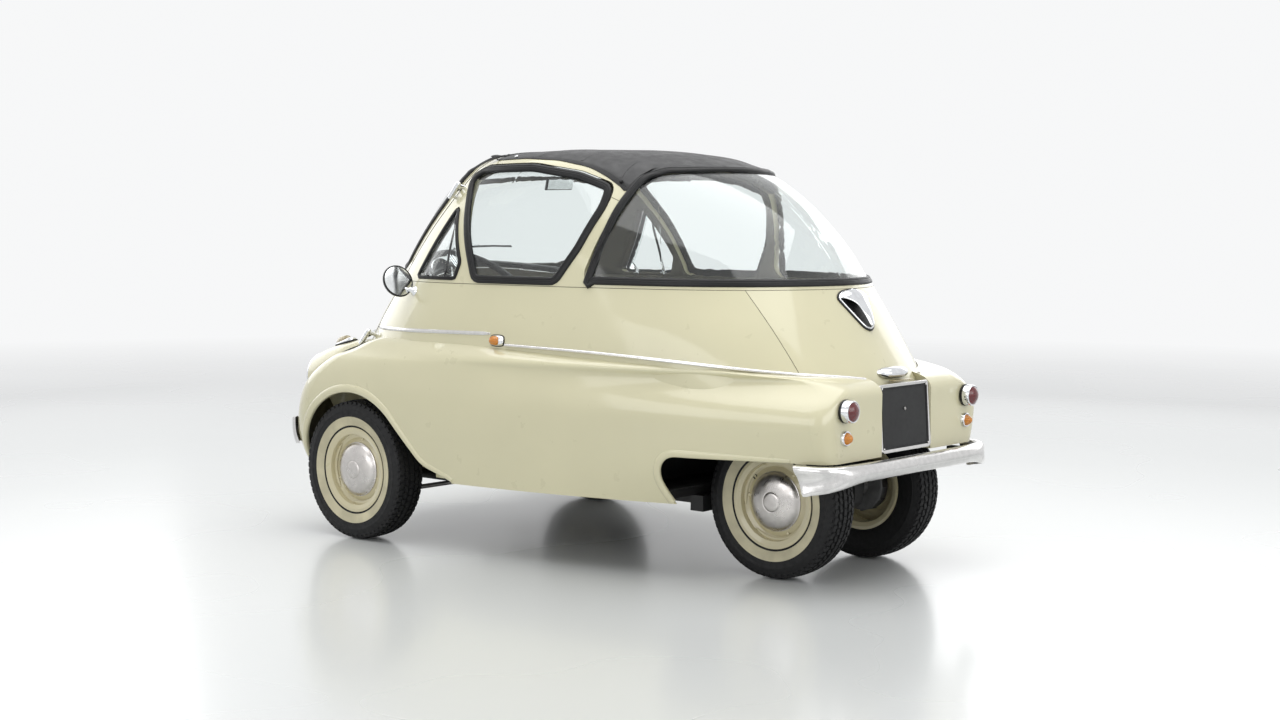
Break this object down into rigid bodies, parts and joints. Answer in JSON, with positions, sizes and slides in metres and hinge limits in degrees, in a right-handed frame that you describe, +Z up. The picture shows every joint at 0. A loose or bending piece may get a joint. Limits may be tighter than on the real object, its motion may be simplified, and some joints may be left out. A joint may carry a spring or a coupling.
{
  "type": "bubble car",
  "caption": "Egg-shaped microcar with a front-opening door, wraparound rear glass, fabric roof, steered front wheels and a narrow rear axle.",
  "frame": {"origin": "on the ground, midway between the front and rear axles, on the centre plane", "axes": "+Z up, -Y towards the front of the car, +X towards its left side"},
  "size_m": [1.342, 2.2516, 1.326],
  "materials": {
    "ivory_paint": "gloss",
    "wheel_paint": "gloss",
    "chassis_black": "satin",
    "bright_chrome": "polished",
    "polished_aluminium": "polished",
    "steel": "satin",
    "tyre_rubber": "matte",
    "seal_rubber": "matte",
    "clear_glass": "polished",
    "red_lens": "gloss",
    "amber_lens": "gloss",
    "roof_fabric": "matte",
    "seat_cloth": "matte",
    "trim_board": "satin",
    "black_plastic": "gloss",
    "plate_black": "satin",
    "engine_grey": "rough"
  },
  "bodies": {
    "body": {"side_body_left": "ivory_paint", "side_body_right": "ivory_paint", "front_panel": "ivory_paint", "tail_panel": "ivory_paint", "window_frames": "ivory_paint", "fabric_roof": "roof_fabric", "rear_glass_seal": "seal_rubber", "rear_glass": "clear_glass", "side_window_seals": "seal_rubber", "side_glass": "clear_glass", "floor_pan": "chassis_black", "nacelles": "ivory_paint", "headlamps": "bright_chrome", "marker_lamps": "amber_lens", "tail_lamps": "red_lens", "number_plate": "plate_black", "plate_lamp": "bright_chrome", "air_scoop": "bright_chrome", "rear_bumper": "polished_aluminium", "front_bumpers": "polished_aluminium", "mirrors": "bright_chrome", "chassis_frame": "chassis_black", "front_axle": "chassis_black", "rear_suspension": "chassis_black", "engine": "engine_grey", "seat_base": "trim_board", "seat_cushion": "seat_cloth", "seat_backrest": "seat_cloth", "hinge_brackets": "bright_chrome"},
    "door": {"front_door": "ivory_paint", "windscreen_seal": "seal_rubber", "windscreen": "clear_glass", "instrument_panel": "trim_board", "steering_column": "black_plastic", "door_hinges": "bright_chrome"},
    "steering_wheel": {"steering_wheel": "black_plastic"},
    "knuckle_left": {"knuckle_left": "steel"},
    "knuckle_right": {"knuckle_right": "steel"},
    "track_rod": {"track_rod": "steel"},
    "front_wheel_left": {"front_tyre_left": "tyre_rubber", "front_wheel_left": "wheel_paint", "front_hubcap_left": "polished_aluminium"},
    "front_wheel_right": {"front_tyre_right": "tyre_rubber", "front_wheel_right": "wheel_paint", "front_hubcap_right": "polished_aluminium"},
    "rear_wheels": {"rear_axle": "steel", "rear_tyre_left": "tyre_rubber", "rear_wheel_left": "wheel_paint", "rear_hubcap_left": "polished_aluminium", "rear_tyre_right": "tyre_rubber", "rear_wheel_right": "wheel_paint", "rear_hubcap_right": "polished_aluminium"}
  },
  "joints": [
    {"name": "door_hinge", "type": "hinge", "parent": "body", "child": "door", "pos_m": [0.522, -0.841, 0.672], "axis": [-0.0888, 0.603, 0.7928], "range_deg": [0, 70]},
    {"name": "steer_left", "type": "hinge", "parent": "body", "child": "knuckle_left", "pos_m": [0.522, -0.75, 0.2385], "axis": [0, 0, 1], "range_deg": [-28, 28]},
    {"name": "steer_right", "type": "hinge", "parent": "body", "child": "knuckle_right", "pos_m": [-0.522, -0.75, 0.2385], "axis": [0, 0, 1], "range_deg": [-28, 28]},
    {"name": "steering_wheel_turn", "type": "hinge", "parent": "door", "child": "steering_wheel", "pos_m": [0.23, -0.56, 0.86], "axis": [0, 0.5878, 0.809], "range_deg": [-365, 365]},
    {"name": "track_rod_slide", "type": "slide", "parent": "body", "child": "track_rod", "axis": [1, 0, 0], "range_m": [-0.056, 0.056]},
    {"name": "front_left_spin", "type": "hinge", "parent": "knuckle_left", "child": "front_wheel_left", "pos_m": [0.6, -0.75, 0.2385], "axis": [1, 0, 0], "continuous": true},
    {"name": "front_right_spin", "type": "hinge", "parent": "knuckle_right", "child": "front_wheel_right", "pos_m": [-0.6, -0.75, 0.2385], "axis": [1, 0, 0], "continuous": true},
    {"name": "rear_spin", "type": "hinge", "parent": "body", "child": "rear_wheels", "pos_m": [0, 0.75, 0.2385], "axis": [1, 0, 0], "continuous": true}
  ],
  "couplings": [
    {"joint": "steer_right", "follows": "steer_left", "ratio": 1},
    {"joint": "steering_wheel_turn", "follows": "steer_left", "ratio": 13},
    {"joint": "track_rod_slide", "follows": "steer_left", "m_per_rad": -0.10567}
  ]
}
